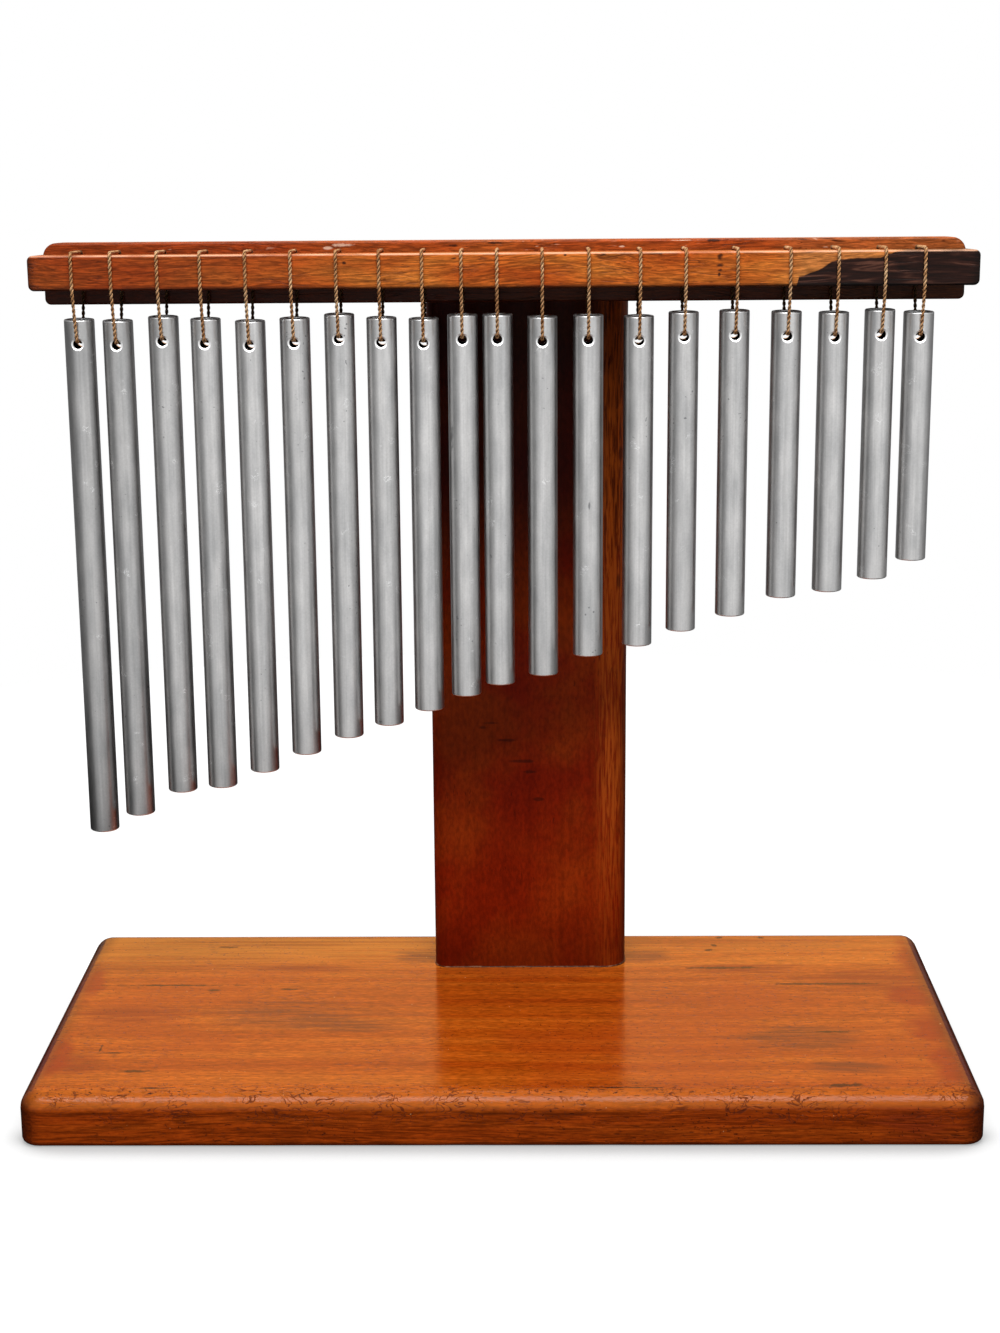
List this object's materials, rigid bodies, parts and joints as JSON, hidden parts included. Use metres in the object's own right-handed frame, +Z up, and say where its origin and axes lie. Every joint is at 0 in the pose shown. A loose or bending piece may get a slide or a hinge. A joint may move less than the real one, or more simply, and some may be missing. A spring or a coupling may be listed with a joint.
{
  "type": "tabletop chime",
  "caption": "Row of graduated aluminium chime tubes on twine loops under a two-bar wooden header, on a post and base board; the tubes sway and swing when stroked.",
  "frame": {"origin": "middle of the underside of the base board", "axes": "+X to the right along the row, towards the short tubes; +Y from the front to the post at the rear; +Z up"},
  "size_m": [0.3951, 0.188, 0.3562],
  "materials": {
    "base_wood": "satin varnished reddish hardwood",
    "post_wood": "satin varnished dark red-brown hardwood",
    "rail_wood": "satin varnished orange-brown hardwood with a dark end",
    "tube_aluminium": "drawn satin aluminium with small dings",
    "twine": "natural two-ply hemp twine",
    "screw_zinc": "zinc plated"
  },
  "bodies": {
    "stand": {"base_board": "base_wood", "post": "post_wood", "back_rail": "rail_wood", "front_rail": "rail_wood", "base_screw_1": "screw_zinc", "base_screw_2": "screw_zinc", "post_screw_1": "screw_zinc", "post_screw_2": "screw_zinc", "rail_screw_1": "screw_zinc", "rail_screw_2": "screw_zinc", "rail_screw_3": "screw_zinc", "rail_screw_4": "screw_zinc"},
    "loop_01": {"twine_loop_01": "twine"},
    "tube_01": {"chime_tube_01": "tube_aluminium"},
    "loop_02": {"twine_loop_02": "twine"},
    "tube_02": {"chime_tube_02": "tube_aluminium"},
    "loop_03": {"twine_loop_03": "twine"},
    "tube_03": {"chime_tube_03": "tube_aluminium"},
    "loop_04": {"twine_loop_04": "twine"},
    "tube_04": {"chime_tube_04": "tube_aluminium"},
    "loop_05": {"twine_loop_05": "twine"},
    "tube_05": {"chime_tube_05": "tube_aluminium"},
    "loop_06": {"twine_loop_06": "twine"},
    "tube_06": {"chime_tube_06": "tube_aluminium"},
    "loop_07": {"twine_loop_07": "twine"},
    "tube_07": {"chime_tube_07": "tube_aluminium"},
    "loop_08": {"twine_loop_08": "twine"},
    "tube_08": {"chime_tube_08": "tube_aluminium"},
    "loop_09": {"twine_loop_09": "twine"},
    "tube_09": {"chime_tube_09": "tube_aluminium"},
    "loop_10": {"twine_loop_10": "twine"},
    "tube_10": {"chime_tube_10": "tube_aluminium"},
    "loop_11": {"twine_loop_11": "twine"},
    "tube_11": {"chime_tube_11": "tube_aluminium"},
    "loop_12": {"twine_loop_12": "twine"},
    "tube_12": {"chime_tube_12": "tube_aluminium"},
    "loop_13": {"twine_loop_13": "twine"},
    "tube_13": {"chime_tube_13": "tube_aluminium"},
    "loop_14": {"twine_loop_14": "twine"},
    "tube_14": {"chime_tube_14": "tube_aluminium"},
    "loop_15": {"twine_loop_15": "twine"},
    "tube_15": {"chime_tube_15": "tube_aluminium"},
    "loop_16": {"twine_loop_16": "twine"},
    "tube_16": {"chime_tube_16": "tube_aluminium"},
    "loop_17": {"twine_loop_17": "twine"},
    "tube_17": {"chime_tube_17": "tube_aluminium"},
    "loop_18": {"twine_loop_18": "twine"},
    "tube_18": {"chime_tube_18": "tube_aluminium"},
    "loop_19": {"twine_loop_19": "twine"},
    "tube_19": {"chime_tube_19": "tube_aluminium"},
    "loop_20": {"twine_loop_20": "twine"},
    "tube_20": {"chime_tube_20": "tube_aluminium"}
  },
  "joints": [
    {"name": "sway_01", "type": "hinge", "parent": "stand", "child": "loop_01", "pos_m": [-0.17585, 0.01435, 0.35326], "axis": [0, -1, 0], "range_deg": [-20, 0.68]},
    {"name": "swing_01", "type": "hinge", "parent": "loop_01", "child": "tube_01", "pos_m": [-0.17585, 0.01435, 0.31665], "axis": [1, 0, 0], "range_deg": [-20, 20], "deforming": ["twine_loop_01"]},
    {"name": "sway_02", "type": "hinge", "parent": "stand", "child": "loop_02", "pos_m": [-0.15965, 0.01435, 0.35326], "axis": [0, -1, 0], "range_deg": [-0.68, 1.44]},
    {"name": "swing_02", "type": "hinge", "parent": "loop_02", "child": "tube_02", "pos_m": [-0.15965, 0.01435, 0.31615], "axis": [1, 0, 0], "range_deg": [-20, 20], "deforming": ["twine_loop_02"]},
    {"name": "sway_03", "type": "hinge", "parent": "stand", "child": "loop_03", "pos_m": [-0.14045, 0.01435, 0.35326], "axis": [0, -1, 0], "range_deg": [-1.44, 1.08]},
    {"name": "swing_03", "type": "hinge", "parent": "loop_03", "child": "tube_03", "pos_m": [-0.14045, 0.01435, 0.31765], "axis": [1, 0, 0], "range_deg": [-20, 20], "deforming": ["twine_loop_03"]},
    {"name": "sway_04", "type": "hinge", "parent": "stand", "child": "loop_04", "pos_m": [-0.12275, 0.01435, 0.35326], "axis": [0, -1, 0], "range_deg": [-1.08, 1.37]},
    {"name": "swing_04", "type": "hinge", "parent": "loop_04", "child": "tube_04", "pos_m": [-0.12275, 0.01435, 0.31665], "axis": [1, 0, 0], "range_deg": [-20, 20], "deforming": ["twine_loop_04"]},
    {"name": "sway_05", "type": "hinge", "parent": "stand", "child": "loop_05", "pos_m": [-0.10405, 0.01435, 0.35326], "axis": [0, -1, 0], "range_deg": [-1.37, 1.42]},
    {"name": "swing_05", "type": "hinge", "parent": "loop_05", "child": "tube_05", "pos_m": [-0.10405, 0.01435, 0.31565], "axis": [1, 0, 0], "range_deg": [-20, 20], "deforming": ["twine_loop_05"]},
    {"name": "sway_06", "type": "hinge", "parent": "stand", "child": "loop_06", "pos_m": [-0.08535, 0.01435, 0.35326], "axis": [0, -1, 0], "range_deg": [-1.42, 1.47]},
    {"name": "swing_06", "type": "hinge", "parent": "loop_06", "child": "tube_06", "pos_m": [-0.08535, 0.01435, 0.31665], "axis": [1, 0, 0], "range_deg": [-20, 20], "deforming": ["twine_loop_06"]},
    {"name": "sway_07", "type": "hinge", "parent": "stand", "child": "loop_07", "pos_m": [-0.06665, 0.01435, 0.35326], "axis": [0, -1, 0], "range_deg": [-1.47, 1.23]},
    {"name": "swing_07", "type": "hinge", "parent": "loop_07", "child": "tube_07", "pos_m": [-0.06665, 0.01435, 0.31815], "axis": [1, 0, 0], "range_deg": [-20, 20], "deforming": ["twine_loop_07"]},
    {"name": "sway_08", "type": "hinge", "parent": "stand", "child": "loop_08", "pos_m": [-0.04895, 0.01435, 0.35326], "axis": [0, -1, 0], "range_deg": [-1.23, 1.27]},
    {"name": "swing_08", "type": "hinge", "parent": "loop_08", "child": "tube_08", "pos_m": [-0.04895, 0.01435, 0.31665], "axis": [1, 0, 0], "range_deg": [-20, 20], "deforming": ["twine_loop_08"]},
    {"name": "sway_09", "type": "hinge", "parent": "stand", "child": "loop_09", "pos_m": [-0.03125, 0.01435, 0.35326], "axis": [0, -1, 0], "range_deg": [-1.27, 0.87]},
    {"name": "swing_09", "type": "hinge", "parent": "loop_09", "child": "tube_09", "pos_m": [-0.03125, 0.01435, 0.31615], "axis": [1, 0, 0], "range_deg": [-20, 9.44], "deforming": ["twine_loop_09"]},
    {"name": "sway_10", "type": "hinge", "parent": "stand", "child": "loop_10", "pos_m": [-0.01505, 0.01435, 0.35326], "axis": [0, -1, 0], "range_deg": [-0.87, 0.43]},
    {"name": "swing_10", "type": "hinge", "parent": "loop_10", "child": "tube_10", "pos_m": [-0.01505, 0.01435, 0.31765], "axis": [1, 0, 0], "range_deg": [-20, 9.75], "deforming": ["twine_loop_10"]},
    {"name": "sway_11", "type": "hinge", "parent": "stand", "child": "loop_11", "pos_m": [-0.00035, 0.01435, 0.35326], "axis": [0, -1, 0], "range_deg": [-0.43, 1.7]},
    {"name": "swing_11", "type": "hinge", "parent": "loop_11", "child": "tube_11", "pos_m": [-0.00035, 0.01435, 0.31765], "axis": [1, 0, 0], "range_deg": [-20, 10.1], "deforming": ["twine_loop_11"]},
    {"name": "sway_12", "type": "hinge", "parent": "stand", "child": "loop_12", "pos_m": [0.01835, 0.01435, 0.35326], "axis": [0, -1, 0], "range_deg": [-1.7, 1.95]},
    {"name": "swing_12", "type": "hinge", "parent": "loop_12", "child": "tube_12", "pos_m": [0.01835, 0.01435, 0.31665], "axis": [1, 0, 0], "range_deg": [-20, 10.45], "deforming": ["twine_loop_12"]},
    {"name": "sway_13", "type": "hinge", "parent": "stand", "child": "loop_13", "pos_m": [0.03755, 0.01435, 0.35326], "axis": [0, -1, 0], "range_deg": [-1.95, 2.68]},
    {"name": "swing_13", "type": "hinge", "parent": "loop_13", "child": "tube_13", "pos_m": [0.03755, 0.01435, 0.31715], "axis": [1, 0, 0], "range_deg": [-20, 11.05], "deforming": ["twine_loop_13"]},
    {"name": "sway_14", "type": "hinge", "parent": "stand", "child": "loop_14", "pos_m": [0.05875, 0.01435, 0.35326], "axis": [0, -1, 0], "range_deg": [-2.68, 1.9]},
    {"name": "swing_14", "type": "hinge", "parent": "loop_14", "child": "tube_14", "pos_m": [0.05875, 0.01435, 0.31665], "axis": [1, 0, 0], "range_deg": [-20, 11.5], "deforming": ["twine_loop_14"]},
    {"name": "sway_15", "type": "hinge", "parent": "stand", "child": "loop_15", "pos_m": [0.07745, 0.01435, 0.35326], "axis": [0, -1, 0], "range_deg": [-1.9, 2.9]},
    {"name": "swing_15", "type": "hinge", "parent": "loop_15", "child": "tube_15", "pos_m": [0.07745, 0.01435, 0.31815], "axis": [1, 0, 0], "range_deg": [-20, 20], "deforming": ["twine_loop_15"]},
    {"name": "sway_16", "type": "hinge", "parent": "stand", "child": "loop_16", "pos_m": [0.09865, 0.01435, 0.35326], "axis": [0, -1, 0], "range_deg": [-2.9, 3.25]},
    {"name": "swing_16", "type": "hinge", "parent": "loop_16", "child": "tube_16", "pos_m": [0.09865, 0.01435, 0.31865], "axis": [1, 0, 0], "range_deg": [-20, 20], "deforming": ["twine_loop_16"]},
    {"name": "sway_17", "type": "hinge", "parent": "stand", "child": "loop_17", "pos_m": [0.12035, 0.01435, 0.35326], "axis": [0, -1, 0], "range_deg": [-3.25, 2.52]},
    {"name": "swing_17", "type": "hinge", "parent": "loop_17", "child": "tube_17", "pos_m": [0.12035, 0.01435, 0.31815], "axis": [1, 0, 0], "range_deg": [-20, 20], "deforming": ["twine_loop_17"]},
    {"name": "sway_18", "type": "hinge", "parent": "stand", "child": "loop_18", "pos_m": [0.14005, 0.01435, 0.35326], "axis": [0, -1, 0], "range_deg": [-2.52, 2.42]},
    {"name": "swing_18", "type": "hinge", "parent": "loop_18", "child": "tube_18", "pos_m": [0.14005, 0.01435, 0.31765], "axis": [1, 0, 0], "range_deg": [-20, 20], "deforming": ["twine_loop_18"]},
    {"name": "sway_19", "type": "hinge", "parent": "stand", "child": "loop_19", "pos_m": [0.15925, 0.01435, 0.35326], "axis": [0, -1, 0], "range_deg": [-2.42, 1.26]},
    {"name": "swing_19", "type": "hinge", "parent": "loop_19", "child": "tube_19", "pos_m": [0.15925, 0.01435, 0.31865], "axis": [1, 0, 0], "range_deg": [-20, 20], "deforming": ["twine_loop_19"]},
    {"name": "sway_20", "type": "hinge", "parent": "stand", "child": "loop_20", "pos_m": [0.17545, 0.01435, 0.35326], "axis": [0, -1, 0], "range_deg": [-1.26, 20]},
    {"name": "swing_20", "type": "hinge", "parent": "loop_20", "child": "tube_20", "pos_m": [0.17545, 0.01435, 0.31765], "axis": [1, 0, 0], "range_deg": [-20, 20], "deforming": ["twine_loop_20"]}
  ]
}
